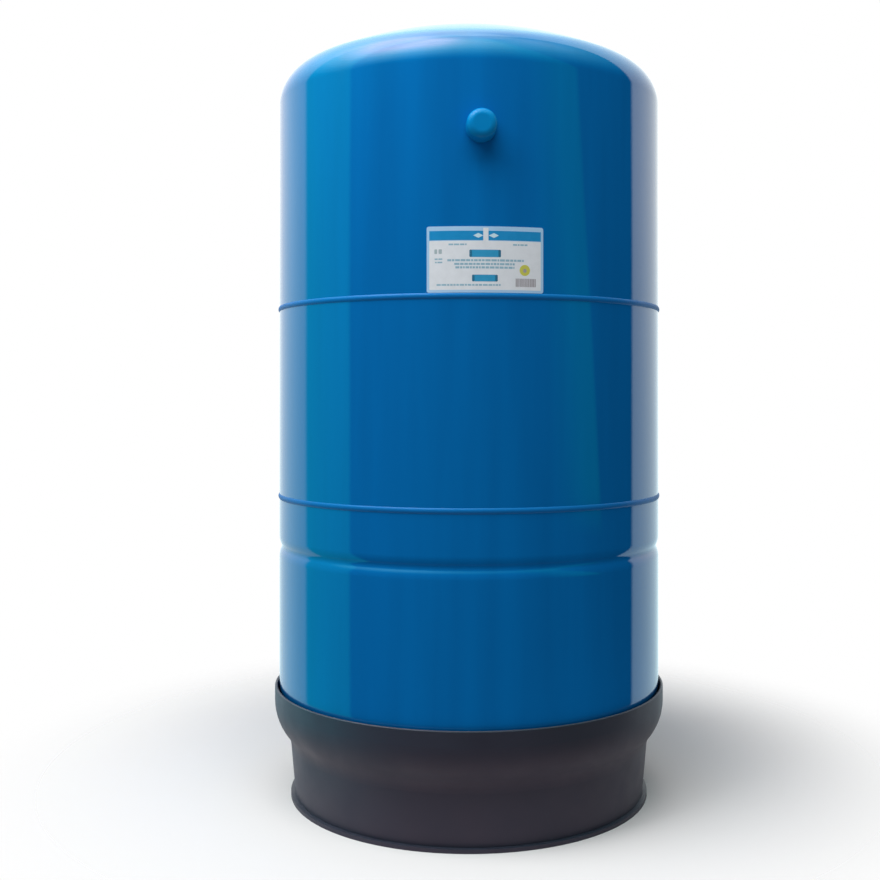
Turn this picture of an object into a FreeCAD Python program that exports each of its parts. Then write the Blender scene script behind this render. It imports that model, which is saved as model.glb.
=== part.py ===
import FreeCAD, Part
import math
import os

# Diaphragm pressure tank of a water purifier, in millimetres.
# The origin is on the floor, on the tank's axis. +Z is up, and the front, with the air valve, faces -Y.

V = FreeCAD.Vector
UP = V(0, 0, 1)
ORIGIN = V(0, 0, 0)

# Shell
tank_radius = 205.0
shell_wall = 1.5
cylinder_height = 611.6
crown_radius = 410.0
knuckle_radius = 41.0

# Heights above the lower tangent line, where the lower head begins
groove_height = 143.2
lower_seam_height = 196.2
upper_seam_height = 394.6
valve_height = 549.3

# Rolled groove that locks the diaphragm: convex shoulders above and below a concave valley
groove_depth = 2.4
shoulder_radius = 22.0
valley_radius = 7.0

# Weld beads
weld_gap = 1.2
weld_root = 0.5
upper_bead_width = 5.6
upper_bead_crown = 1.1
lower_bead_width = 5.6
lower_bead_crown = 1.1

# Layers inside the groove, from the shell inward
layer_fit = 0.1
liner_wall = 1.5
liner_rise = 23.0
diaphragm_wall = 2.5
diaphragm_rise = 20.0
diaphragm_bead_radius = 2.4
clench_wall = 2.0
clench_half_height = 16.0

# Water port in the lower head
port_radius = 13.2
port_bore = 9.5
port_hole_clearance = 0.3
flange_radius = 30.0
flange_thickness = 3.0
gasket_radius = 28.0
gasket_thickness = 2.5
washer_radius = 23.0
washer_thickness = 2.0
nut_across_flats = 36.0
nut_height = 6.5
port_room = 1.0
lift_slope = 12.0

# Outlet
thread_fit = 0.1
elbow_gap = 0.5
elbow_radius = 16.0
elbow_drop = 17.0
elbow_collar_radius = 17.5
elbow_collar_length = 6.0
elbow_web = 2.7
socket_depth = 12.0
pipe_radius = 12.5
pipe_thread_length = 20.0
outlet_past_base = 16.4
elbow_floor_gap = 1.0

# Base
tangent_over_rim = 5.0
rim_gap = 1.8
base_wall = 3.0
rim_height = 15.8
rim_rounding = 1.2
shoulder_arc_radius = 51.6
shoulder_arc_angle = 38.0
neck_arc_radius = 30.0
skirt_taper = 5.0
foot_width_out = 5.0
foot_width_in = 9.0
foot_thickness = 4.0
gusset_count = 12
gusset_thickness = 3.0
gusset_reach = 60.6
gusset_lift = 2.0
gusset_below_rim = 8.0
seat_clearance = 0.3
pipe_notch_clearance = 3.0

# Label
label_width = 109.5
label_height = 61.0
label_thickness = 0.25
label_glue = 0.05
label_corner = 2.0
label_turn = 1.26
label_over_bead = 0.1

# Air valve. Its sizes run outward from the shell's surface.
boss_radius = 9.0
boss_inside = 6.0
boss_fit = 0.05
collar_radius = 11.0
collar_length = 7.0
collar_chamfer = 0.8
stem_thread_radius = 4.85
stem_inside = 5.0
stem_hex = 12.5
stem_hex_height = 3.0
ring_wire_radius = 0.75
nipple_radius = 3.85
nipple_length = 6.0
stem_lower_bore = 1.9
core_radius = 2.6
core_fit = 0.05
core_length = 9.0
core_recess = 0.5
core_head_height = 2.5
core_floor = 1.0
spring_room_radius = 1.7
pin_radius = 0.6
pin_running_fit = 0.1
pin_tip = 0.4
pin_collar_radius = 1.3
pin_collar_height = 0.6
pin_collar_gap = 0.7
pin_travel = 1.2
pin_end_clearance = 0.3
seal_radius = 2.2
seal_thickness = 1.5
seal_gap = 0.05
retainer_radius = 1.6
retainer_height = 0.6
spring_wire_radius = 0.2
spring_turns = 4
spring_seat_gap = 0.05
spring_radius = 1.1

# Screw cap over the air valve
cap_radius = 14.25
cap_reach = 22.0
cap_shell_gap = 0.6
cap_end_wall = 2.5
cap_rounding = 7.0
cap_lip_rounding = 0.6
cap_running_fit = 0.1
cap_seal_radius = 6.0
cap_seal_thickness = 1.4
cap_seal_gap = 0.1
cap_seal_holder_wall = 1.0

# Radii of the base, outward from the tank
base_radius = tank_radius + rim_gap + base_wall
gusset_inner_radius = base_radius - gusset_reach
outlet_reach = base_radius + outlet_past_base

# The crown's sphere meets the knuckle's torus on the line through their centres
knuckle_reach = tank_radius - knuckle_radius
crown_drop = math.sqrt((crown_radius - knuckle_radius) ** 2 - knuckle_reach ** 2)
crown_lean = math.asin(knuckle_reach / (crown_radius - knuckle_radius))
head_depth = crown_radius - crown_drop

# Heights above the floor. The elbow clears the floor, and the nut, the washer and the tank are stacked on it.
outlet_z = elbow_collar_radius + elbow_floor_gap
elbow_top = outlet_z + elbow_drop
nut_top = elbow_top + elbow_gap + nut_height
tank_bottom = nut_top + washer_thickness
lower_tangent = tank_bottom + head_depth
upper_tangent = lower_tangent + cylinder_height
tank_top = upper_tangent + head_depth
base_height = lower_tangent - tangent_over_rim
groove_z = lower_tangent + groove_height
lower_seam = lower_tangent + lower_seam_height
upper_seam = lower_tangent + upper_seam_height
valve_z = lower_tangent + valve_height

# The groove's shoulder arcs meet the valley arc on the line through their centres
groove_span = shoulder_radius + valley_radius
groove_half_width = math.sqrt(groove_depth * (2 * groove_span - groove_depth))
groove_slope = math.acos((groove_span - groove_depth) / groove_span)

# Insets of the layers from the tank's outer form
liner_inset = shell_wall + layer_fit
diaphragm_inset = liner_inset + liner_wall + layer_fit
clench_inset = diaphragm_inset + diaphragm_wall + layer_fit

# Levels of the water port
flange_under = tank_bottom + liner_inset + liner_wall + gasket_thickness
flange_top = flange_under + flange_thickness
port_end = elbow_top - socket_depth + elbow_gap
elbow_length = port_radius + thread_fit + elbow_web + socket_depth

# Levels of the air valve, outward from the shell's surface
hex_low = collar_length + 2 * ring_wire_radius
nipple_low = hex_low + stem_hex_height
nipple_end = nipple_low + nipple_length
core_top = nipple_end - core_recess
core_low = core_top - core_length
core_head_low = core_top - core_head_height
pin_collar_top = core_head_low - pin_collar_gap
pin_collar_low = pin_collar_top - pin_collar_height
seal_top = core_low - seal_gap
seal_low = seal_top - seal_thickness


def rod(radius, low, high):
    return Part.makeCylinder(radius, high - low, V(0, 0, low), UP)


def ring(outer, inner, low, high):
    return rod(outer, low, high).cut(rod(inner, low, high))


def hexagon(across_flats, low, high):
    corner = across_flats / math.sqrt(3)
    points = [
        V(corner * math.cos(math.radians(60 * k)), corner * math.sin(math.radians(60 * k)), low)
        for k in range(7)
    ]
    return Part.Face(Part.makePolygon(points)).extrude(V(0, 0, high - low))


def line(start, end):
    return Part.makeLine(V(start[0], 0, start[1]), V(end[0], 0, end[1]))


def arc(centre, radius, start, end):
    """Arc in the X-Z plane between two angles in radians, measured from +X toward +Z."""
    points = [
        V(centre[0] + radius * math.cos(angle), 0, centre[1] + radius * math.sin(angle))
        for angle in (start, (start + end) / 2, end)
    ]
    return Part.Arc(*points).toShape()


def revolve(edges):
    """Solid turned about Z from a closed outline in the X-Z plane."""
    return Part.Face(Part.Wire(edges)).revolve(ORIGIN, UP, 360)


def slab(low, high):
    """Everything between two heights, wider than the tank."""
    return rod(2 * tank_radius, low, high)


def tank_form(inset, lift=None):
    """Solid bounded by the tank's outer form moved inward by inset.

    A lift is a blunt cone that raises the middle of the bottom: its foot radius, top radius and top height.
    """
    radius = tank_radius - inset
    crown = crown_radius - inset
    knuckle = knuckle_radius - inset
    shoulder = shoulder_radius - inset
    valley = valley_radius + inset
    crown_angle = math.pi / 2 - crown_lean
    shoulder_r = tank_radius - shoulder_radius
    valley_r = tank_radius - groove_depth + valley_radius
    foot_radius, lift_radius, lift_z = lift or (0, 0, lower_tangent + crown_drop - crown)
    foot_angle = math.asin(foot_radius / crown) - math.pi / 2
    foot = (foot_radius, lower_tangent + crown_drop + crown * math.sin(foot_angle))
    edges = [
        arc((0, upper_tangent - crown_drop), crown, math.pi / 2, crown_angle),
        arc((knuckle_reach, upper_tangent), knuckle, crown_angle, 0),
        line((radius, upper_tangent), (radius, groove_z + groove_half_width)),
        arc((shoulder_r, groove_z + groove_half_width), shoulder, 0, -groove_slope),
        arc((valley_r, groove_z), valley, math.pi - groove_slope, math.pi + groove_slope),
        arc((shoulder_r, groove_z - groove_half_width), shoulder, groove_slope, 0),
        line((radius, groove_z - groove_half_width), (radius, lower_tangent)),
        arc((knuckle_reach, lower_tangent), knuckle, 0, -crown_angle),
        arc((0, lower_tangent + crown_drop), crown, -crown_angle, foot_angle),
    ]
    if lift:
        edges.append(line(foot, (lift_radius, lift_z)))
        edges.append(line((lift_radius, lift_z), (0, lift_z)))
    edges.append(line((0, lift_z), (0, upper_tangent - crown_drop + crown)))
    return revolve(edges)


def layer(outer_inset, wall, low, high):
    """Wall that follows the tank's form between two heights."""
    return tank_form(outer_inset).cut(tank_form(outer_inset + wall)).common(slab(low, high))


def at_valve(shape):
    """Turns a piece built along +Z so that it points out of the front at the air valve."""
    placed = shape.copy()
    placed.rotate(ORIGIN, V(1, 0, 0), 90)
    placed.translate(V(0, -tank_radius, valve_z))
    return placed


def upper_shell():
    wall = layer(0, shell_wall, upper_seam + weld_gap / 2, tank_top + shell_wall)
    hole = rod(boss_radius + boss_fit, -knuckle_radius, knuckle_radius)
    return wall.cut(at_valve(hole))


def middle_shell():
    return layer(0, shell_wall, lower_seam + weld_gap / 2, upper_seam - weld_gap / 2)


def lower_shell():
    wall = layer(0, shell_wall, tank_bottom - shell_wall, lower_seam - weld_gap / 2)
    return wall.cut(rod(port_radius + port_hole_clearance, 0, lower_tangent))


def weld_bead(seam, width, crown):
    """Weld metal between two shell edges, with a rounded crown outside and a root inside."""
    radius = (width ** 2 / 4 + crown ** 2) / (2 * crown)
    half = math.asin(width / 2 / radius)
    root = tank_radius - shell_wall - weld_root
    gap_low = seam - weld_gap / 2
    gap_high = seam + weld_gap / 2
    edges = [
        line((tank_radius, seam - width / 2), (tank_radius, gap_low)),
        line((tank_radius, gap_low), (root, gap_low)),
        line((root, gap_low), (root, gap_high)),
        line((root, gap_high), (tank_radius, gap_high)),
        line((tank_radius, gap_high), (tank_radius, seam + width / 2)),
        arc((tank_radius + crown - radius, seam), radius, half, -half),
    ]
    return revolve(edges)


def water_liner():
    wall = layer(liner_inset, liner_wall, tank_bottom, groove_z + liner_rise)
    return wall.cut(rod(port_radius + port_hole_clearance, 0, lower_tangent))


def diaphragm_form(offset):
    """Form of one face of the diaphragm, which lies on the liner and is lifted over the water port."""
    lift_radius = flange_radius + port_room + offset
    lift_z = flange_top + port_room + offset
    return tank_form(diaphragm_inset + offset, (lift_radius + lift_slope, lift_radius, lift_z))


def diaphragm():
    top = groove_z + diaphragm_rise
    bag = diaphragm_form(0).cut(diaphragm_form(diaphragm_wall)).common(slab(tank_bottom, top))
    bead_centre = tank_radius - diaphragm_inset - diaphragm_bead_radius
    return bag.fuse(Part.makeTorus(bead_centre, diaphragm_bead_radius, V(0, 0, top), UP))


def clench_ring():
    return layer(clench_inset, clench_wall, groove_z - clench_half_height, groove_z + clench_half_height)


def water_port():
    flange = rod(flange_radius, flange_under, flange_top)
    stem = rod(port_radius, port_end, flange_top)
    return flange.fuse(stem).cut(rod(port_bore, port_end, flange_top))


def port_gasket():
    washer = ring(gasket_radius, port_radius + port_hole_clearance, tank_bottom, flange_under)
    return washer.common(tank_form(liner_inset + liner_wall))


def port_washer():
    return ring(washer_radius, port_radius + port_hole_clearance, nut_top, tank_bottom)


def port_nut():
    nut = hexagon(nut_across_flats, nut_top - nut_height, nut_top)
    return nut.cut(rod(port_radius + thread_fit, nut_top - nut_height, nut_top))


def along_outlet(shape):
    """Turns a piece built along +Z so that it points to the rear at the outlet's height."""
    placed = shape.copy()
    placed.rotate(ORIGIN, V(1, 0, 0), -90)
    placed.translate(V(0, 0, outlet_z))
    return placed


def outlet_elbow():
    socket = port_radius + thread_fit
    body = rod(elbow_radius, outlet_z, elbow_top)
    body = body.fuse(Part.makeSphere(elbow_radius, V(0, 0, outlet_z)))
    body = body.fuse(along_outlet(rod(elbow_radius, 0, elbow_length)))
    body = body.fuse(rod(elbow_collar_radius, elbow_top - elbow_collar_length, elbow_top))
    mouth = rod(elbow_collar_radius, elbow_length - elbow_collar_length, elbow_length)
    body = body.fuse(along_outlet(mouth))
    hollow = rod(port_bore, outlet_z, elbow_top)
    hollow = hollow.fuse(Part.makeSphere(port_bore, V(0, 0, outlet_z)))
    hollow = hollow.fuse(along_outlet(rod(port_bore, 0, elbow_length)))
    hollow = hollow.fuse(rod(socket, elbow_top - socket_depth, elbow_top))
    hollow = hollow.fuse(along_outlet(rod(socket, elbow_length - socket_depth, elbow_length)))
    return body.cut(hollow)


def outlet_pipe():
    start = elbow_length - socket_depth + elbow_gap
    pipe = rod(pipe_radius, start, outlet_reach)
    pipe = pipe.fuse(rod(port_radius, start, start + pipe_thread_length))
    pipe = pipe.fuse(rod(port_radius, outlet_reach - pipe_thread_length, outlet_reach))
    return along_outlet(pipe.cut(rod(port_bore, start, outlet_reach)))


def base_form(inset):
    """Solid bounded by the base's outer form moved inward by inset."""
    shoulder_end = -math.radians(shoulder_arc_angle)
    taper = -math.radians(skirt_taper)
    shoulder_r = base_radius - shoulder_arc_radius
    shoulder_z = base_height - rim_height
    centres_apart = shoulder_arc_radius + neck_arc_radius
    neck_r = shoulder_r + centres_apart * math.cos(shoulder_end)
    neck_z = shoulder_z + centres_apart * math.sin(shoulder_end)
    shoulder = shoulder_arc_radius - inset
    neck = neck_arc_radius + inset
    neck_end = (neck_r - neck * math.cos(taper), neck_z - neck * math.sin(taper))
    foot_r = neck_end[0] + neck_end[1] * math.tan(taper)
    edges = [
        line((0, base_height), (base_radius - inset, base_height)),
        line((base_radius - inset, base_height), (base_radius - inset, shoulder_z)),
        arc((shoulder_r, shoulder_z), shoulder, 0, shoulder_end),
        arc((neck_r, neck_z), neck, math.pi + shoulder_end, math.pi + taper),
        line(neck_end, (foot_r, 0)),
        line((foot_r, 0), (0, 0)),
        line((0, 0), (0, base_height)),
    ]
    return revolve(edges), foot_r


def gusset(form):
    """Upright rib whose top carries the tank's knuckle and whose tip centres the cylinder."""
    low = gusset_lift
    high = base_height - gusset_below_rim
    plate = Part.makeBox(
        base_radius - gusset_inner_radius,
        gusset_thickness,
        high - low,
        V(gusset_inner_radius, -gusset_thickness / 2, low),
    )
    return plate.common(form)


def base_stand():
    outside, foot_r = base_form(0)
    wall = outside.cut(base_form(base_wall)[0])
    rim = [
        edge
        for edge in wall.Edges
        if edge.BoundBox.ZMin > base_height - rim_rounding and edge.BoundBox.XLength > base_radius
    ]
    wall = wall.makeFillet(rim_rounding, rim)
    foot = ring(foot_r + foot_width_out, foot_r - foot_width_in, 0, foot_thickness)
    rib = gusset(base_form(base_wall / 2)[0]).cut(tank_form(-seat_clearance))
    ribs = []
    for k in range(gusset_count):
        turned = rib.copy()
        turned.rotate(ORIGIN, UP, (k + 0.5) * 360 / gusset_count)
        ribs.append(turned)
    body = wall.fuse([foot] + ribs)
    notch_radius = port_radius + pipe_notch_clearance
    notch = rod(notch_radius, gusset_inner_radius, base_radius)
    slot = Part.makeBox(
        2 * notch_radius,
        base_radius - gusset_inner_radius,
        outlet_z,
        V(-notch_radius, gusset_inner_radius, 0),
    )
    return body.cut(along_outlet(notch).fuse(slot))


def rating_label():
    """Sticker with rounded corners, wrapped on the shell above the upper weld bead."""
    low = upper_seam + upper_bead_width / 2 + label_over_bead
    chord = 2 * tank_radius * math.sin(label_width / tank_radius / 2)
    outline = Part.makeBox(chord, 2 * tank_radius, label_height, V(-chord / 2, -2 * tank_radius, low))
    corners = [edge for edge in outline.Edges if edge.BoundBox.YLength > tank_radius]
    outline = outline.makeFillet(label_corner, corners)
    back = tank_radius + label_glue
    sheet = ring(back + label_thickness, back, low, low + label_height).common(outline)
    sheet.rotate(ORIGIN, UP, label_turn)
    return sheet


def valve_boss():
    shank = rod(boss_radius, -shell_wall - boss_inside, collar_length)
    collar = rod(collar_radius, 0, collar_length)
    top = [edge for edge in collar.Edges if edge.BoundBox.ZMin > collar_length - collar_chamfer]
    boss = shank.fuse(collar.makeChamfer(collar_chamfer, top))
    return boss.cut(rod(stem_thread_radius + boss_fit, -shell_wall - boss_inside, collar_length))


def valve_stem():
    stem = rod(stem_thread_radius, -stem_inside, hex_low)
    stem = stem.fuse(hexagon(stem_hex, hex_low, nipple_low))
    stem = stem.fuse(rod(nipple_radius, nipple_low, nipple_end))
    stem = stem.cut(rod(stem_lower_bore, -stem_inside, nipple_end))
    room_low = seal_low - pin_travel - pin_end_clearance
    return stem.cut(rod(core_radius + core_fit, room_low, nipple_end))


def valve_o_ring():
    centre = stem_thread_radius + boss_fit + ring_wire_radius
    return Part.makeTorus(centre, ring_wire_radius, V(0, 0, collar_length + ring_wire_radius), UP)


def valve_core():
    barrel = rod(core_radius, core_low, core_head_low)
    barrel = barrel.cut(rod(spring_room_radius, core_low + core_floor, core_head_low))
    return barrel.cut(rod(pin_radius + pin_running_fit, core_low, core_head_low))


def core_head():
    return ring(core_radius, pin_radius + pin_running_fit, core_head_low, core_top)


def valve_pin():
    pin = rod(pin_radius, seal_low - 2 * retainer_height, core_top + pin_tip)
    pin = pin.fuse(rod(pin_collar_radius, pin_collar_low, pin_collar_top))
    return pin.fuse(rod(retainer_radius, seal_low - retainer_height, seal_low))


def pin_seal():
    return ring(seal_radius, pin_radius, seal_low, seal_top)


def valve_spring():
    low = core_low + core_floor + spring_seat_gap + spring_wire_radius
    high = pin_collar_low - spring_seat_gap - spring_wire_radius
    pitch = (high - low) / spring_turns
    path = Part.makeHelix(pitch, high - low, spring_radius)
    wire = Part.Wire(Part.makeCircle(spring_wire_radius, V(spring_radius, 0, 0), V(0, 1, 0)))
    coil = Part.Wire(path).makePipeShell([wire], True, True)
    coil.translate(V(0, 0, low))
    return coil


def valve_cap():
    body = rod(cap_radius, cap_shell_gap, cap_reach)
    end = [edge for edge in body.Edges if edge.BoundBox.ZMin > cap_reach - cap_rounding]
    body = body.makeFillet(cap_rounding, end)
    lip = [edge for edge in body.Edges if edge.BoundBox.ZMax < cap_shell_gap + cap_lip_rounding]
    body = body.makeFillet(cap_lip_rounding, lip)
    room_top = cap_reach - cap_end_wall
    body = body.cut(rod(collar_radius + cap_running_fit, 0, room_top))
    holder = cap_seal_radius + cap_running_fit
    return body.fuse(ring(holder + cap_seal_holder_wall, holder, room_top - cap_seal_thickness, room_top))


def cap_seal():
    top = cap_reach - cap_end_wall - cap_seal_gap
    return rod(cap_seal_radius, top - cap_seal_thickness, top)


pieces = {
    "upper_shell": upper_shell(),
    "middle_shell": middle_shell(),
    "lower_shell": lower_shell(),
    "upper_weld_bead": weld_bead(upper_seam, upper_bead_width, upper_bead_crown),
    "lower_weld_bead": weld_bead(lower_seam, lower_bead_width, lower_bead_crown),
    "water_liner": water_liner(),
    "diaphragm": diaphragm(),
    "clench_ring": clench_ring(),
    "water_port": water_port(),
    "port_gasket": port_gasket(),
    "port_washer": port_washer(),
    "port_nut": port_nut(),
    "outlet_elbow": outlet_elbow(),
    "outlet_pipe": outlet_pipe(),
    "base_stand": base_stand(),
    "rating_label": rating_label(),
    "valve_boss": at_valve(valve_boss()),
    "valve_stem": at_valve(valve_stem()),
    "valve_o_ring": at_valve(valve_o_ring()),
    "valve_core": at_valve(valve_core()),
    "core_head": at_valve(core_head()),
    "valve_pin": at_valve(valve_pin()),
    "pin_seal": at_valve(pin_seal()),
    "valve_spring": at_valve(valve_spring()),
    "valve_cap": at_valve(valve_cap()),
    "cap_seal": at_valve(cap_seal()),
}

os.makedirs("parts", exist_ok=True)
for name, shape in pieces.items():
    shape.exportStep(f"parts/{name}.step")
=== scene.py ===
import math
import random

import bmesh
import bpy
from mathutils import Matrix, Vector


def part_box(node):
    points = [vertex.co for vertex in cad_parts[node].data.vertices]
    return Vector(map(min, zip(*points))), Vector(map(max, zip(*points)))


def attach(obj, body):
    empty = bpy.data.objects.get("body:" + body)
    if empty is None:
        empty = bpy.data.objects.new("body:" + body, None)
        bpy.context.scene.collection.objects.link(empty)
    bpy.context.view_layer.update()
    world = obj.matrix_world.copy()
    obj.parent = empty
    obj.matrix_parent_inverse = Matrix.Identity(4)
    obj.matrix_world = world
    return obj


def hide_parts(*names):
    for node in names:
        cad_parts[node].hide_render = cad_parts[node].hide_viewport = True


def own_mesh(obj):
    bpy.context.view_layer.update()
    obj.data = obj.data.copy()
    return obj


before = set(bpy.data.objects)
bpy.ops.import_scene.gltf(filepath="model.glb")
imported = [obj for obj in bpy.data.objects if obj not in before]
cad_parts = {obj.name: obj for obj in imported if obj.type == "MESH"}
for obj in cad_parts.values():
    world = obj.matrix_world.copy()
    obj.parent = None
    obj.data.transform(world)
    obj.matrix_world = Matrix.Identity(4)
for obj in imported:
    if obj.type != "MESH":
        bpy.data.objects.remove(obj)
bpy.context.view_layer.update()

# Sizes in metres. What the frame gives is read from it, and the rest repeats the real sizes.
tank_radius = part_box("middle_shell")[1][0]
tank_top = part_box("upper_shell")[1][2]
tank_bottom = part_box("port_washer")[1][2]
shell_wall = 0.0015
crown_radius = 0.410
knuckle_radius = 0.041
upper_shell_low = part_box("upper_shell")[0][2]
middle_shell_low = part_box("middle_shell")[0][2]
middle_shell_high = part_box("middle_shell")[1][2]
lower_shell_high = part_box("lower_shell")[1][2]
groove_z = (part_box("clench_ring")[0][2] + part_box("clench_ring")[1][2]) / 2
groove_depth = 0.0024
shoulder_radius = 0.022
valley_radius = 0.007
port_hole_radius = 0.0135
cap_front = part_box("valve_cap")[0][1]
cap_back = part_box("valve_cap")[1][1]
cap_radius = (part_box("valve_cap")[1][0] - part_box("valve_cap")[0][0]) / 2
valve_z = (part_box("valve_cap")[0][2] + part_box("valve_cap")[1][2]) / 2
cap_rounding = 0.007
cap_lip_rounding = 0.0006
cap_end_wall = 0.0025
cap_bore_radius = 0.0111
weld_root = 0.0005
collar_radius = 0.011
collar_length = 0.007
boss_radius = 0.009
boss_bore = 0.0049
boss_inside = 0.0075
boss_thread_depth = 0.0006
cap_thread_pitch = 0.0015
pipe_thread_pitch = 0.001814
thread_samples = 10
label_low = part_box("rating_label")[0][2]
label_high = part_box("rating_label")[1][2]
label_back = tank_radius + 0.00005
label_thickness = 0.00025
label_width = 0.1095
label_corner = 0.002
label_turn = math.radians(1.26)
outlet_z = (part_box("outlet_pipe")[0][2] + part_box("outlet_pipe")[1][2]) / 2

# Form of the heads, as arcs that meet on the line through their centres
knuckle_reach = tank_radius - knuckle_radius
crown_drop = math.sqrt((crown_radius - knuckle_radius) ** 2 - knuckle_reach ** 2)
crown_angle = math.pi / 2 - math.asin(knuckle_reach / (crown_radius - knuckle_radius))
head_depth = crown_radius - crown_drop
upper_tangent = tank_top - head_depth
lower_tangent = tank_bottom + head_depth

# Form of the rolled groove
groove_span = shoulder_radius + valley_radius
groove_half_width = math.sqrt(groove_depth * (2 * groove_span - groove_depth))
groove_slope = math.acos((groove_span - groove_depth) / groove_span)

# The view: distances and angles of the photograph's camera, worked out from the tank's seams and outline
camera_azimuth = math.radians(-3.1)
camera_distance = 6.1865 * tank_radius
camera_height = 0.4263
photo_side = 880
photo_focal_pixels = 1243
photo_axis_x = 471.1
sensor = 36
view_zoom = 0.93
view_horizon_y = 396


def arc(centre, radius, start, end, step):
    """Points of an arc from start to end, both in radians from +r toward +z."""
    count = max(1, math.ceil(abs(end - start) * radius / step))
    turns = [start + (end - start) * k / count for k in range(count + 1)]
    return [(centre[0] + radius * math.cos(a), centre[1] + radius * math.sin(a)) for a in turns]


def finish_mesh(name, bm, material, sharp=30, body="tank"):
    """Object from a bmesh, smooth apart from edges sharper than an angle in degrees, riding on a body."""
    bmesh.ops.remove_doubles(bm, verts=bm.verts, dist=1e-7)
    bmesh.ops.recalc_face_normals(bm, faces=bm.faces)
    mesh = bpy.data.meshes.new(name)
    bm.to_mesh(mesh)
    bm.free()
    mesh.shade_smooth()
    mesh.set_sharp_from_angle(angle=math.radians(sharp))
    piece = bpy.data.objects.new(name, mesh)
    bpy.context.scene.collection.objects.link(piece)
    piece.data.materials.append(material)
    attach(piece, body)
    return piece


def lathe_bmesh(outline, segments, place, change=None):
    """Closed outline of (radius, height) turned about an axis. Points at no radius become poles.

    place turns (radius, angle, height) into a point, and change may alter a point's radius first.
    """
    bm = bmesh.new()
    rings = []
    for radius, height in outline:
        if radius < 1e-7:
            rings.append([bm.verts.new(place(0, 0, height))] * segments)
            continue
        ring = []
        for k in range(segments):
            angle = 2 * math.pi * k / segments
            turned = change(radius, angle, height) if change else radius
            ring.append(bm.verts.new(place(turned, angle, height)))
        rings.append(ring)
    for low, high in zip(rings, rings[1:] + rings[:1]):
        for k in range(segments):
            after = (k + 1) % segments
            corners = [low[k], low[after], high[after], high[k]]
            unique = [c for i, c in enumerate(corners) if c not in corners[:i]]
            if len(unique) > 2:
                bm.faces.new(unique)
    return bm


def about_z(radius, angle, height):
    return (radius * math.cos(angle), radius * math.sin(angle), height)


def about_valve(radius, angle, height):
    """Point around the valve's axis, with height outward from the shell's surface."""
    return (radius * math.sin(angle), -tank_radius - height, valve_z + radius * math.cos(angle))


def about_outlet(radius, angle, height):
    """Point around the outlet's axis, with height toward the rear."""
    return (radius * math.sin(angle), height, outlet_z + radius * math.cos(angle))


def upper_head(inset, step):
    """Knuckle and crown of the upper head, from the tangent line to the pole."""
    points = arc((knuckle_reach, upper_tangent), knuckle_radius - inset, 0, crown_angle, step)
    crown = arc((0, upper_tangent - crown_drop), crown_radius - inset, crown_angle, math.pi / 2, 4 * step)
    return points + crown[1:-1] + [(0, tank_top - inset)]


def lower_head(inset, step):
    """Knuckle and crown of the lower head, from the tangent line to the hole for the water port."""
    points = arc((knuckle_reach, lower_tangent), knuckle_radius - inset, 0, -crown_angle, step)
    centre = (0, lower_tangent + crown_drop)
    end = math.asin(port_hole_radius / (crown_radius - inset)) - math.pi / 2
    return points + arc(centre, crown_radius - inset, -crown_angle, end, 4 * step)[1:]


def groove(inset, step):
    """Rolled groove, from the upper shoulder to the lower one."""
    shoulder_r = tank_radius - shoulder_radius
    valley_r = tank_radius - groove_depth + valley_radius
    shoulder = shoulder_radius - inset
    valley = valley_radius + inset
    above = arc((shoulder_r, groove_z + groove_half_width), shoulder, 0, -groove_slope, step)
    middle = arc((valley_r, groove_z), valley, math.pi - groove_slope, math.pi + groove_slope, step)
    below = arc((shoulder_r, groove_z - groove_half_width), shoulder, groove_slope, 0, step)
    return above + middle[1:-1] + below


def upper_shell_outline():
    step = 0.002
    outside = [(tank_radius, upper_shell_low)] + upper_head(0, step)
    inside = [(tank_radius - shell_wall, upper_shell_low)] + upper_head(shell_wall, step)
    return outside + inside[::-1]


def middle_shell_outline():
    outer, inner = tank_radius, tank_radius - shell_wall
    low, high = middle_shell_low, middle_shell_high
    return [(outer, low), (outer, high), (inner, high), (inner, low)]


def lower_shell_outline():
    step = 0.001
    outside = [(tank_radius, lower_shell_high)] + groove(0, step) + lower_head(0, 2 * step)
    inner = tank_radius - shell_wall
    inside = [(inner, lower_shell_high)] + groove(shell_wall, step) + lower_head(shell_wall, 2 * step)
    return outside + inside[::-1]


def bead_outline(node):
    """Section of a weld bead: crown outside, and weld metal in the gap between the shell edges."""
    low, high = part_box(node)[0][2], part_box(node)[1][2]
    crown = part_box(node)[1][0] - tank_radius
    middle, width = (low + high) / 2, high - low
    radius = (width ** 2 / 4 + crown ** 2) / (2 * crown)
    half = math.asin(width / 2 / radius)
    gap = (upper_shell_low - middle_shell_high) / 2
    root = tank_radius - shell_wall - weld_root
    outside = arc((tank_radius + crown - radius, middle), radius, -half, half, 0.0005)
    top, bottom = middle + gap, middle - gap
    return outside + [(tank_radius, top), (root, top), (root, bottom), (tank_radius, bottom)]


def bead_ripple(count, depth):
    """Overlapping ripples along a weld bead, on its crown only."""
    def change(radius, angle, height):
        share = max(0.0, radius - tank_radius) / 0.001
        return radius + depth * share * abs(math.sin(count * angle / 2))
    return change


def cap_outline():
    """Section of the screw cap, from the middle of its face round to the middle of its room."""
    front = -tank_radius - cap_front
    back = -tank_radius - cap_back
    room = front - cap_end_wall
    rim = arc((cap_radius - cap_rounding, front - cap_rounding), cap_rounding, math.pi / 2, 0, 0.0003)
    lip_centre = (cap_radius - cap_lip_rounding, back + cap_lip_rounding)
    lip = arc(lip_centre, cap_lip_rounding, 0, -math.pi / 2, 0.0002)
    return [(0, front)] + rim + lip + [(cap_bore_radius, back), (cap_bore_radius, room), (0, room)]


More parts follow.
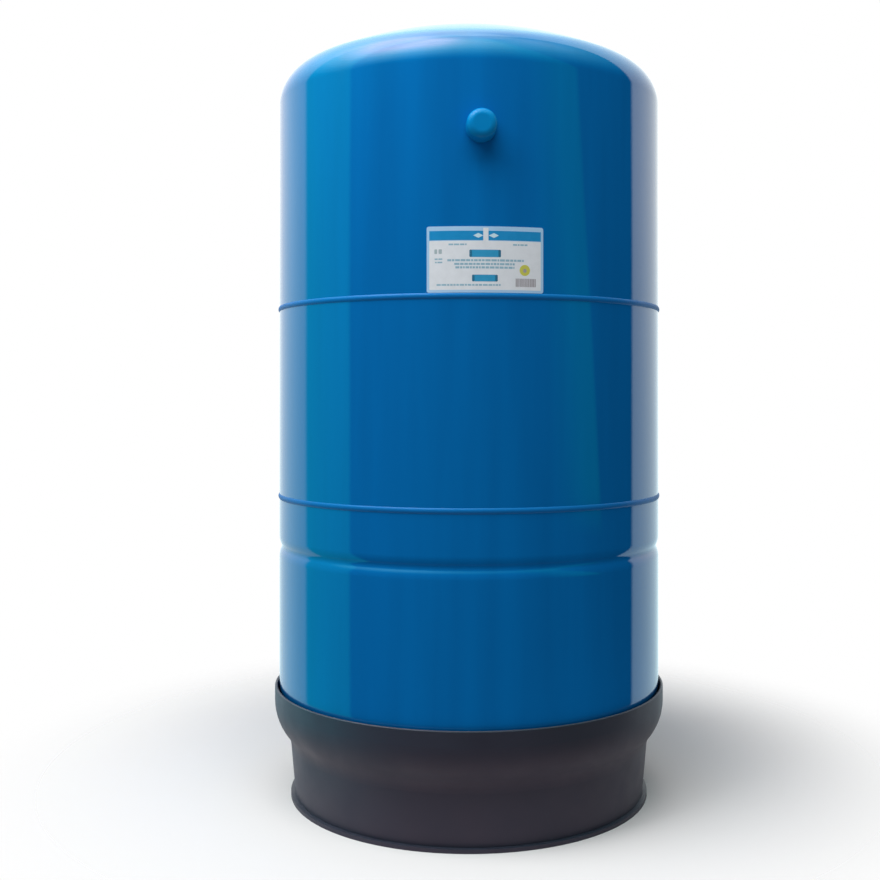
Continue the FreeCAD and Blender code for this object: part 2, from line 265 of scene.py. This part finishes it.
def threaded(low, high, crest, depth, pitch, samples):
    """Outline points of a threaded stretch, and the change that cuts the helix into it."""
    count = math.ceil((high - low) / pitch * samples)
    points = [(crest, low + (high - low) * k / count) for k in range(count + 1)]

    def change(radius, angle, height):
        if radius < crest - depth or not low <= height <= high:
            return radius
        phase = (height / pitch - angle / (2 * math.pi)) % 1
        fade = min(1.0, (height - low) / pitch, (high - height) / pitch)
        return radius - depth * fade * min(1.0, 2.4 * abs(phase - 0.5))
    return points, change


def wrapped_panel(bm, left, right, low, high, corner, back, thickness, slot=0):
    """Thin closed panel with rounded corners, wrapped on the tank.

    left and right are lengths along the arc from the label's middle.
    """
    corner = min(corner, (right - left) / 2, (high - low) / 2)
    steps = 8
    columns = []
    for k in range(steps + 1):
        a = math.pi / 2 * k / steps
        columns.append((left + corner * (1 - math.cos(a)), corner * (1 - math.sin(a))))
    count = max(1, math.ceil((right - left - 2 * corner) / 0.003))
    for k in range(1, count):
        columns.append((left + corner + (right - left - 2 * corner) * k / count, 0))
    for k in range(steps + 1):
        a = math.pi / 2 * k / steps
        columns.append((right - corner * (1 - math.sin(a)), corner * (1 - math.cos(a))))
    sections = []
    for along, pull in columns:
        angle = along / tank_radius + label_turn - math.pi / 2
        front = back + thickness
        section = []
        for radius, z in ((back, low + pull), (front, low + pull), (front, high - pull), (back, high - pull)):
            section.append(bm.verts.new((radius * math.cos(angle), radius * math.sin(angle), z)))
        sections.append(section)
    for a, b in zip(sections, sections[1:]):
        for k in range(4):
            after = (k + 1) % 4
            bm.faces.new((a[k], b[k], b[after], a[after])).material_index = slot
    bm.faces.new(sections[0]).material_index = slot
    bm.faces.new(sections[-1][::-1]).material_index = slot


def new_material(name, colour, roughness, metallic=0.0, **sockets):
    """Material with one Principled shader. Returns the material, its node tree and the shader."""
    material = bpy.data.materials.new(name)
    material.use_nodes = True
    shader = material.node_tree.nodes["Principled BSDF"]
    shader.inputs["Base Color"].default_value = (*colour, 1)
    shader.inputs["Roughness"].default_value = roughness
    shader.inputs["Metallic"].default_value = metallic
    for socket, value in sockets.items():
        shader.inputs[socket.replace("_", " ")].default_value = value
    return material, material.node_tree, shader


def noise(tree, scale, detail=3.0, stretch=None):
    """Noise over the object's own coordinates. Scale is in waves per metre, and stretch squeezes an axis."""
    place = tree.nodes.new("ShaderNodeTexCoord")
    texture = tree.nodes.new("ShaderNodeTexNoise")
    texture.inputs["Scale"].default_value = scale
    texture.inputs["Detail"].default_value = detail
    source = place.outputs["Object"]
    if stretch:
        mapping = tree.nodes.new("ShaderNodeMapping")
        mapping.inputs["Scale"].default_value = stretch
        tree.links.new(source, mapping.inputs["Vector"])
        source = mapping.outputs["Vector"]
    tree.links.new(source, texture.inputs["Vector"])
    return texture.outputs["Fac"]


def spread(tree, value, low, high):
    """Maps a noise value from its usual range to between low and high."""
    node = tree.nodes.new("ShaderNodeMapRange")
    node.inputs["From Min"].default_value = 0.3
    node.inputs["From Max"].default_value = 0.7
    node.inputs["To Min"].default_value = low
    node.inputs["To Max"].default_value = high
    tree.links.new(value, node.inputs["Value"])
    return node.outputs["Result"]


def tint(tree, value, first, second):
    """Colour that goes from first to second with a noise value."""
    node = tree.nodes.new("ShaderNodeMix")
    node.data_type = "RGBA"
    node.inputs["A"].default_value = (*first, 1)
    node.inputs["B"].default_value = (*second, 1)
    tree.links.new(spread(tree, value, 0, 1), node.inputs["Factor"])
    return node.outputs["Result"]


def bump(tree, shader, value, distance, before=None):
    """Bump of a height in metres, on top of an earlier one if given."""
    node = tree.nodes.new("ShaderNodeBump")
    node.inputs["Distance"].default_value = distance
    tree.links.new(value, node.inputs["Height"])
    if before:
        tree.links.new(before, node.inputs["Normal"])
    tree.links.new(node.outputs["Normal"], shader.inputs["Normal"])
    return node.outputs["Normal"]


def tank_paint():
    """Glossy blue enamel, faintly streaked down the wall, with orange peel over slightly uneven sheet."""
    material, tree, shader = new_material(
        "tank_paint", (0.0022, 0.154, 0.464), 0.5,
        Specular_IOR_Level=0.0, Coat_Weight=1.0, Coat_Roughness=0.035, Coat_IOR=1.5,
    )
    colour = tint(tree, noise(tree, 34, 3, (1, 1, 0.07)), (0.0022, 0.143, 0.434), (0.0022, 0.165, 0.494))
    tree.links.new(colour, shader.inputs["Base Color"])
    waves = bump(tree, shader, noise(tree, 9, 1, (1, 1, 0.3)), 0.0006)
    peel = bump(tree, shader, noise(tree, 260, 2), 0.00001, waves)
    tree.links.new(peel, shader.inputs["Coat Normal"])
    return material


def weld_paint():
    """The same enamel over the coarser surface of a weld bead."""
    material, tree, shader = new_material(
        "weld_paint", (0.0022, 0.154, 0.464), 0.5,
        Specular_IOR_Level=0.0, Coat_Weight=0.4, Coat_Roughness=0.32, Coat_IOR=1.5,
    )
    rough = bump(tree, shader, noise(tree, 900, 3), 0.00008)
    tree.links.new(rough, shader.inputs["Coat Normal"])
    return material


def base_plastic():
    """Dark grey moulding with a fine spark grain and slightly uneven gloss."""
    material, tree, shader = new_material(
        "base_plastic", (0.022, 0.022, 0.038), 0.55,
        Specular_IOR_Level=0.6, Specular_Tint=(1.0, 0.74, 0.84, 1),
    )
    colour = tint(tree, noise(tree, 12, 3), (0.020, 0.020, 0.035), (0.024, 0.024, 0.041))
    tree.links.new(colour, shader.inputs["Base Color"])
    tree.links.new(spread(tree, noise(tree, 30, 3), 0.5, 0.6), shader.inputs["Roughness"])
    grain = bump(tree, shader, noise(tree, 1800, 2), 0.00005)
    bump(tree, shader, noise(tree, 25, 1), 0.0001, grain)
    return material


def cap_plastic():
    """Glossy blue moulding with a faint grain."""
    material, tree, shader = new_material(
        "cap_plastic", (0.001, 0.225, 0.56), 0.5,
        Specular_IOR_Level=0.0, Coat_Weight=0.32, Coat_Roughness=0.2, Coat_IOR=1.55,
    )
    colour = tint(tree, noise(tree, 60, 2), (0.001, 0.22, 0.55), (0.001, 0.235, 0.57))
    tree.links.new(colour, shader.inputs["Base Color"])
    tree.links.new(spread(tree, noise(tree, 120, 3), 0.17, 0.24), shader.inputs["Coat Roughness"])
    grain = bump(tree, shader, noise(tree, 1500, 2), 0.00001)
    tree.links.new(grain, shader.inputs["Coat Normal"])
    return material


def label_film():
    """Pale blue sticker film, slightly uneven in gloss."""
    material, tree, shader = new_material("label_film", (0.42, 0.66, 0.92), 0.45)
    colour = tint(tree, noise(tree, 30, 2), (0.40, 0.64, 0.90), (0.44, 0.68, 0.94))
    tree.links.new(colour, shader.inputs["Base Color"])
    tree.links.new(spread(tree, noise(tree, 40, 2), 0.4, 0.5), shader.inputs["Roughness"])
    return material


def print_ink(name, colour):
    """Printed ink with slightly uneven cover."""
    material, tree, shader = new_material(name, colour, 0.45)
    faded = tuple(min(1.0, c * 1.05 + 0.005) for c in colour)
    tree.links.new(tint(tree, noise(tree, 150, 2), colour, faded), shader.inputs["Base Color"])
    return material


def turned_metal(name, colour, roughness, stretch):
    """Metal with fine tool marks across the stretched axis."""
    material, tree, shader = new_material(name, colour, roughness, 1.0)
    marks = noise(tree, 300, 4, stretch)
    tree.links.new(spread(tree, marks, roughness - 0.08, roughness + 0.1), shader.inputs["Roughness"])
    bump(tree, shader, marks, 0.00002)
    return material


def rubber():
    """Black rubber with a soft bloom."""
    material, tree, shader = new_material("rubber_black", (0.012, 0.012, 0.012), 0.65)
    colour = tint(tree, noise(tree, 50, 3), (0.010, 0.010, 0.010), (0.018, 0.018, 0.018))
    tree.links.new(colour, shader.inputs["Base Color"])
    bump(tree, shader, noise(tree, 1200, 2), 0.00003)
    return material


def liner_plastic():
    """Natural coloured plastic of the inner liner."""
    material, tree, shader = new_material("liner_plastic", (0.72, 0.72, 0.66), 0.5)
    colour = tint(tree, noise(tree, 20, 2), (0.70, 0.70, 0.64), (0.75, 0.75, 0.69))
    tree.links.new(colour, shader.inputs["Base Color"])
    return material


paint = tank_paint()
seam_paint = weld_paint()
dark_plastic = base_plastic()
blue_plastic = cap_plastic()
film = label_film()
stainless = turned_metal("stainless_steel", (0.56, 0.56, 0.54), 0.3, (1, 8, 1))
plain_steel = turned_metal("plain_steel", (0.40, 0.41, 0.42), 0.4, (1, 8, 1))
brass = turned_metal("valve_brass", (0.60, 0.42, 0.17), 0.3, (1, 10, 1))
black_rubber = rubber()
pale_liner = liner_plastic()

# Every node's finish, also of those that the pieces below replace
node_finish = {
    "upper_shell": paint,
    "middle_shell": paint,
    "lower_shell": paint,
    "upper_weld_bead": seam_paint,
    "lower_weld_bead": seam_paint,
    "base_stand": dark_plastic,
    "valve_cap": blue_plastic,
    "rating_label": film,
    "water_liner": pale_liner,
    "diaphragm": black_rubber,
    "clench_ring": plain_steel,
    "water_port": stainless,
    "port_gasket": black_rubber,
    "port_washer": stainless,
    "port_nut": stainless,
    "outlet_elbow": stainless,
    "outlet_pipe": stainless,
    "valve_boss": plain_steel,
    "valve_stem": brass,
    "valve_o_ring": black_rubber,
    "valve_core": brass,
    "core_head": brass,
    "valve_pin": brass,
    "pin_seal": black_rubber,
    "valve_spring": plain_steel,
    "cap_seal": black_rubber,
}
for node, finish in node_finish.items():
    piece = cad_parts[node]
    for place in piece.material_slots:
        place.material = finish


def replace_with_lathe(node, outline, material, segments, place=about_z, change=None, sharp=30, body="tank"):
    """Fine turned piece in place of a CAD node of the same form."""
    bm = lathe_bmesh(outline, segments, place, change)
    piece = finish_mesh(f"{node}_fine", bm, material, sharp, body)
    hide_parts(node)
    return piece


shell_segments = 288
replace_with_lathe("upper_shell", upper_shell_outline(), paint, shell_segments)
replace_with_lathe("middle_shell", middle_shell_outline(), paint, shell_segments)
replace_with_lathe("lower_shell", lower_shell_outline(), paint, shell_segments)
ripples = 360
for node, depth in (("upper_weld_bead", 0.00012), ("lower_weld_bead", 0.00008)):
    ripple = bead_ripple(ripples, depth)
    bead = replace_with_lathe(node, bead_outline(node), seam_paint, 4 * ripples, change=ripple)
cap = replace_with_lathe("valve_cap", cap_outline(), blue_plastic, 96, about_valve, body="screw_cap")


def label():
    """Sticker wrapped on the shell."""
    bm = bmesh.new()
    half = label_width / 2
    wrapped_panel(bm, -half, half, label_low, label_high, label_corner, label_back, label_thickness)
    piece = finish_mesh("rating_label_fine", bm, film)
    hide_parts("rating_label")
    return piece


def label_print():
    """Generic print on the sticker: a header band, two bars, rows of dashes, a disc and a striped block."""
    inks = [
        print_ink("ink_blue", (0.005, 0.27, 0.60)),
        print_ink("ink_bar", (0.03, 0.33, 0.60)),
        print_ink("ink_bar_end", (0.02, 0.17, 0.30)),
        print_ink("ink_grey", (0.30, 0.50, 0.62)),
        print_ink("ink_mark", (0.40, 0.48, 0.52)),
        print_ink("ink_yellow", (0.64, 0.62, 0.10)),
        print_ink("ink_brown", (0.40, 0.37, 0.40)),
        print_ink("ink_white", (0.80, 0.83, 0.88)),
        print_ink("ink_bright", (0.62, 0.82, 0.92)),
    ]
    blue, bar, bar_end, grey, mark, yellow, brown, white, bright = range(len(inks))
    bm = bmesh.new()
    back = label_back + label_thickness
    ink = 0.00003
    middle = (label_low + label_high) / 2

    def panel(left, right, low, high, slot, corner=0.0, layer=0):
        """Field with its edges in millimetres from the label's middle."""
        edges = [left / 1000, right / 1000, middle + low / 1000, middle + high / 1000]
        wrapped_panel(bm, *edges, corner / 1000, back + layer * ink, ink, slot)

    def lozenge(centre, half_width, low, high, slot, layer):
        """Field with a point at either side, as a fan of thin upright strips."""
        strips = 16
        level, half_height = (low + high) / 2, (high - low) / 2
        for k in range(strips):
            left = centre - half_width + 2 * half_width * k / strips
            reach = half_height * (1 - abs(2 * (k + 0.5) / strips - 1))
            panel(left, left + 2 * half_width / strips, level - reach, level + reach, slot, 0.0, layer)

    def dashes(left, right, top, rows, pitch, height, slot, seed, ragged):
        """Rows of plain dashes that stand for lines of print."""
        draw = random.Random(seed)
        for row in range(rows):
            z = top - row * pitch
            x = left + ragged * draw.random()
            end = right - ragged * draw.random()
            while x < end - 1:
                width = min(draw.uniform(1.5, 5.0), end - x)
                panel(x, x + width, z - height, z, slot, 0.0, 1)
                x += width + 0.7

    # Ground inside a pale blue border
    panel(-52.3, 52.3, -28.0, 17.2, white, 1.0)
    # Header band with a generic mark of two lozenges beside a bar
    panel(-52.3, 52.3, 17.7, 26.4, blue)
    panel(-2.4, 2.4, 16.0, 29.2, white, 0.4, 1)
    lozenge(-7.0, 4.6, 19.8, 24.4, bright, 1)
    lozenge(7.4, 4.6, 19.8, 24.4, bright, 1)
    # Two bars with darker ends
    for left, right, low, high in ((-15.2, 14.0, 2.2, 9.0), (-12.8, 11.0, -20.2, -14.0)):
        panel(left, right, low, high, bar, 1.0, 1)
        panel(left, left + 2.4, low, high, bar_end, 1.0, 2)
        panel(right - 2.4, right, low, high, bar_end, 1.0, 2)
    # Small mark and short lines at the upper left
    panel(-47.5, -45.0, 5.2, 9.4, mark, 0.6, 1)
    panel(-43.6, -40.6, 5.2, 9.4, mark, 0.6, 1)
    dashes(-47.5, -39.0, 1.0, 2, 3.0, 1.3, grey, 3, 1.0)
    # Lines under the header
    dashes(-35.0, -17.0, 14.6, 1, 2.4, 1.5, grey, 5, 1.0)
    dashes(25.0, 40.0, 14.6, 1, 2.4, 1.5, grey, 7, 1.0)
    # Lines between and below the bars
    dashes(-36.0, 36.0, 0.2, 1, 3.2, 1.9, grey, 10, 1.0)
    dashes(-30.0, 28.0, -3.2, 2, 3.2, 1.9, grey, 11, 2.0)
    dashes(-46.0, 15.0, -22.6, 1, 2.6, 1.6, grey, 13, 2.0)
    # Disc over a striped block at the lower right
    panel(31.6, 41.6, -14.6, -4.4, yellow, 5.0, 1)
    panel(35.0, 38.2, -11.6, -8.0, brown, 1.5, 2)
    draw = random.Random(19)
    x = 27.8
    while x < 46.8:
        width = draw.uniform(0.4, 1.5)
        panel(x, min(x + width, 47.3), -24.8, -17.2, brown, 0.0, 1)
        x += width + draw.uniform(0.15, 0.4)
    piece = finish_mesh("label_print", bm, inks[0])
    for material in inks[1:]:
        piece.data.materials.append(material)
    return piece


label()
label_print()


def outlet_pipe():
    """Pipe with a cut thread at its open end."""
    low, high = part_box("outlet_pipe")[0][1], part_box("outlet_pipe")[1][1]
    bore, plain, crest, thread, depth = 0.0095, 0.0125, 0.0132, 0.020, 0.0009
    points, change = threaded(high - thread, high, crest, depth, pipe_thread_pitch, thread_samples)
    outline = [(bore, low), (crest, low), (crest, low + thread), (plain, low + thread)]
    outline += [(plain, high - thread)] + points + [(bore, high)]
    replace_with_lathe("outlet_pipe", outline, stainless, 96, about_outlet, change, 40)


def valve_boss():
    """Boss with the cut thread of the cap's collar."""
    bevel = 0.0008
    points, change = threaded(
        0.0, collar_length - bevel, collar_radius, boss_thread_depth, cap_thread_pitch, thread_samples
    )
    tip = collar_radius - bevel
    outline = [(boss_bore, -boss_inside), (boss_radius, -boss_inside), (boss_radius, 0.0)]
    outline += points + [(tip, collar_length), (boss_bore, collar_length)]
    replace_with_lathe("valve_boss", outline, plain_steel, 96, about_valve, change, 40)


def valve_spring():
    """Coil of round wire about the valve's axis, drawn at rest; the real one shortens as the pin is pushed
    in, with its inner end held by the core.
    """
    wire, turns, steps, sides = 0.0002, 4, 36, 12
    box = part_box("valve_spring")
    outer, inner = box[0][1] + wire, box[1][1] - wire
    radius = (box[1][0] - box[0][0]) / 2 - wire
    bm = bmesh.new()
    rings = []
    for k in range(turns * steps + 1):
        angle = 2 * math.pi * k / steps
        along = inner + (outer - inner) * k / (turns * steps)
        ring = []
        for side in range(sides):
            a = 2 * math.pi * side / sides
            reach = radius + wire * math.cos(a)
            level = valve_z + reach * math.sin(angle)
            ring.append(bm.verts.new((reach * math.cos(angle), along + wire * math.sin(a), level)))
        rings.append(ring)
    for first, second in zip(rings, rings[1:]):
        for side in range(sides):
            after = (side + 1) % sides
            bm.faces.new((first[side], first[after], second[after], second[side]))
    bm.faces.new(rings[0])
    bm.faces.new(rings[-1])
    piece = finish_mesh("valve_spring_fine", bm, plain_steel, 50)
    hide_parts("valve_spring")
    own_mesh(piece)


outlet_pipe()
valve_boss()
valve_spring()


def floor():
    """Pale disc that fades out, so that it keeps the shadow and has no visible edge.

    Its middle is a little behind the tank, so that the low front of the tank doesn't mirror it.
    """
    bm = bmesh.new()
    bmesh.ops.create_circle(bm, cap_ends=True, segments=96, radius=1.6)
    mesh = bpy.data.meshes.new("floor")
    bm.to_mesh(mesh)
    bm.free()
    plane = bpy.data.objects.new("floor", mesh)
    plane.location = (0, 0.12, 0)
    bpy.context.scene.collection.objects.link(plane)
    material, tree, shader = new_material("floor_pale", (0.92, 0.92, 0.92), 0.9, Specular_IOR_Level=0.0)
    place = tree.nodes.new("ShaderNodeTexCoord")
    length = tree.nodes.new("ShaderNodeVectorMath")
    length.operation = "LENGTH"
    tree.links.new(place.outputs["Object"], length.inputs[0])
    fade = tree.nodes.new("ShaderNodeMapRange")
    fade.interpolation_type = "SMOOTHSTEP"
    fade.inputs["From Min"].default_value = 0.25
    fade.inputs["From Max"].default_value = 0.60
    tree.links.new(length.outputs["Value"], fade.inputs["Value"])
    clear = tree.nodes.new("ShaderNodeBsdfTransparent")
    mix = tree.nodes.new("ShaderNodeMixShader")
    tree.links.new(fade.outputs["Result"], mix.inputs["Fac"])
    tree.links.new(shader.outputs["BSDF"], mix.inputs[1])
    tree.links.new(clear.outputs["BSDF"], mix.inputs[2])
    tree.links.new(mix.outputs["Shader"], tree.nodes["Material Output"].inputs["Surface"])
    mesh.materials.append(material)


def studio_world():
    """Plain soft light all round.

    The gloss sees pale walls at the sides and behind, a dim room in front and lights overhead.
    """
    world = bpy.data.worlds.new("studio")
    world.use_nodes = True
    tree = world.node_tree
    tree.nodes.clear()

    def math_node(operation, first, second=None):
        node = tree.nodes.new("ShaderNodeMath")
        node.operation = operation
        for k, value in enumerate((first, second)):
            if isinstance(value, (int, float)):
                node.inputs[k].default_value = value
            elif value is not None:
                tree.links.new(value, node.inputs[k])
        return node.outputs["Value"]

    def ramp(value, stops):
        node = tree.nodes.new("ShaderNodeValToRGB")
        band = node.color_ramp
        while len(band.elements) < len(stops):
            band.elements.new(0.5)
        for element, (position, colour) in zip(band.elements, stops):
            element.position = position
            element.color = (*colour, 1)
        tree.links.new(value, node.inputs["Fac"])
        return node.outputs["Color"]

    def mix_colour(blend, factor, first, second):
        node = tree.nodes.new("ShaderNodeMix")
        node.data_type = "RGBA"
        node.blend_type = blend
        if isinstance(factor, float):
            node.inputs["Factor"].default_value = factor
        else:
            tree.links.new(factor, node.inputs["Factor"])
        tree.links.new(first, node.inputs["A"])
        if isinstance(second, tuple):
            node.inputs["B"].default_value = (*second, 1)
        else:
            tree.links.new(second, node.inputs["B"])
        return node.outputs["Result"]

    place = tree.nodes.new("ShaderNodeTexCoord")
    split = tree.nodes.new("ShaderNodeSeparateXYZ")
    tree.links.new(place.outputs["Generated"], split.inputs["Vector"])
    x, y, z = split.outputs

    # Azimuth from the front, positive to the right, as a share of the turn from the rear round to the rear
    azimuth = math_node("ARCTAN2", x, math_node("MULTIPLY", y, -1.0))
    turn = math_node("ADD", math_node("DIVIDE", azimuth, 2 * math.pi), 0.5)

    def at(degrees):
        return 0.5 + (degrees + math.degrees(camera_azimuth)) / 360

    pale = (1.22, 1.3, 1.32)
    bluish = (0.76, 1.5, 1.62)
    teal = (0.02, 1.1, 1.15)
    dim = (0.002, 0.010, 0.012)
    around = ramp(turn, [
        (at(-180 + 4), pale), (at(-150), pale), (at(-113), bluish), (at(-110), teal), (at(-74), teal),
        (at(-71.5), dim), (at(110), dim), (at(113), pale),
    ])
    level = math_node("ADD", z, 0.5)
    around = mix_colour("MULTIPLY", 1.0, around, ramp(level, [
        (0.3, (0.72, 0.89, 0.94)), (0.5, (0.88, 0.96, 0.99)), (0.67, (1.06, 1.04, 1.02)),
    ]))

    # A faint strip off to the right that leans to the left as it rises and ends low down
    lean = math_node("ADD", turn, math_node("MULTIPLY", z, 45 / 360))
    strip = ramp(lean, [
        (at(46), (0, 0, 0)), (at(56), (0.0, 0.22, 0.14)), (at(66), (0.0, 0.5, 0.32)),
        (at(77), (0.0, 0.5, 0.32)), (at(79), (0, 0, 0)),
    ])
    strip = mix_colour("MULTIPLY", 1.0, strip, ramp(level, [(0.37, (0, 0, 0)), (0.42, (1, 1, 1))]))
    around = mix_colour("ADD", 1.0, around, strip)

    # The lights overhead, which reach lower at the upper left and are weaker and bluer toward their edge
    sky = ramp(turn, [
        (at(-180 + 4), (1.5, 1.9, 1.0)), (at(-150), (1.6, 1.8, 1.3)), (at(-131), (2.5, 2.6, 2.4)),
        (at(-105), (6.6, 4.8, 4.0)), (at(-70), (6.6, 6.3, 5.8)), (at(-52), (8.8, 8.3, 7.3)),
        (at(-28), (7.3, 7.8, 7.2)), (at(-12), (4.2, 6.0, 5.0)), (at(0), (2.9, 5.0, 3.4)),
        (at(38), (1.0, 3.1, 2.8)), (at(80), (1.4, 2.7, 2.5)), (at(117), (0.4, 1.3, 1.2)),
        (at(150), (0.5, 1.0, 1.0)), (1.0, (1.5, 1.9, 1.0)),
    ])
    overhead = ramp(z, [(0.965, (0, 0, 0)), (0.999, (1, 1, 1))])
    sky = mix_colour("MIX", overhead, sky, (2.4, 3.1, 2.2))
    reach = ramp(turn, [
        (at(-131), (0, 0, 0)), (at(-105), (0.04, 0.04, 0.04)), (at(-80), (0.16, 0.16, 0.16)),
        (at(-60), (0.11, 0.11, 0.11)), (at(-25), (0.03, 0.03, 0.03)), (at(-5), (0, 0, 0)),
    ])
    height = math_node("ADD", z, reach)
    above = ramp(height, [
        (0.34, (0, 0, 0)), (0.43, (0.0, 0.05, 0.06)), (0.55, (0.04, 0.20, 0.22)), (0.70, (0.18, 0.48, 0.48)),
        (0.82, (0.54, 0.82, 0.82)), (0.92, (1, 1, 1)),
    ])
    surround = mix_colour("ADD", 1.0, around, mix_colour("MULTIPLY", 1.0, sky, above))

    path = tree.nodes.new("ShaderNodeLightPath")

    def background(colour, strength=1.0):
        node = tree.nodes.new("ShaderNodeBackground")
        if isinstance(colour, tuple):
            node.inputs["Color"].default_value = (*colour, 1)
        else:
            tree.links.new(colour, node.inputs["Color"])
        node.inputs["Strength"].default_value = strength
        return node.outputs["Background"]

    def mix(factor, first, second):
        node = tree.nodes.new("ShaderNodeMixShader")
        tree.links.new(factor, node.inputs["Fac"])
        tree.links.new(first, node.inputs[1])
        tree.links.new(second, node.inputs[2])
        return node.outputs["Shader"]

    soft = background((0.95, 0.98, 1.0), 0.27)
    gloss = background(surround)
    plain = background((1.0, 1.0, 1.0))
    lit = mix(path.outputs["Is Glossy Ray"], soft, gloss)
    seen = math_node("MAXIMUM", path.outputs["Is Camera Ray"], path.outputs["Is Transmission Ray"])
    lit = mix(seen, lit, plain)
    output = tree.nodes.new("ShaderNodeOutputWorld")
    tree.links.new(lit, output.inputs["Surface"])
    bpy.context.scene.world = world


def lamp(name, azimuth, elevation, power):
    """Square soft lamp aimed at the tank, which the gloss doesn't mirror. Azimuth 0 is the camera's side."""
    distance, size, target = 1.5, 1.2, (0, 0, 0.8)
    a = math.radians(azimuth) + camera_azimuth
    e = math.radians(elevation)
    back = Vector((math.sin(a) * math.cos(e), -math.cos(a) * math.cos(e), math.sin(e)))
    data = bpy.data.lights.new(name, "AREA")
    data.shape = "SQUARE"
    data.size = size
    data.energy = power
    light = bpy.data.objects.new(name, data)
    light.location = Vector(target) + back * distance
    light.rotation_euler = back.to_track_quat("Z", "Y").to_euler()
    light.visible_glossy = False
    bpy.context.scene.collection.objects.link(light)


def camera():
    """The photograph's station point and eye level, with a slightly wider view that shows the whole base."""
    data = bpy.data.cameras.new("camera")
    data.sensor_width = sensor
    focal = photo_focal_pixels * view_zoom
    data.lens = focal / photo_side * sensor
    axis_x = photo_side / 2 + (photo_axis_x - photo_side / 2) * view_zoom
    data.shift_x = (photo_side / 2 - axis_x) / photo_side
    data.shift_y = (view_horizon_y - photo_side / 2) / photo_side
    data.clip_start = 0.01
    eye = bpy.data.objects.new("camera", data)
    back = Vector((math.sin(camera_azimuth), -math.cos(camera_azimuth), 0))
    eye.location = back * camera_distance + Vector((0, 0, camera_height))
    eye.rotation_euler = back.to_track_quat("Z", "Y").to_euler()
    bpy.context.scene.collection.objects.link(eye)
    bpy.context.scene.camera = eye


floor()
studio_world()
lamp("key", -60, 45, 24)
lamp("front", 0, 55, 17)
camera()

bpy.context.scene.view_settings.view_transform = "Standard"
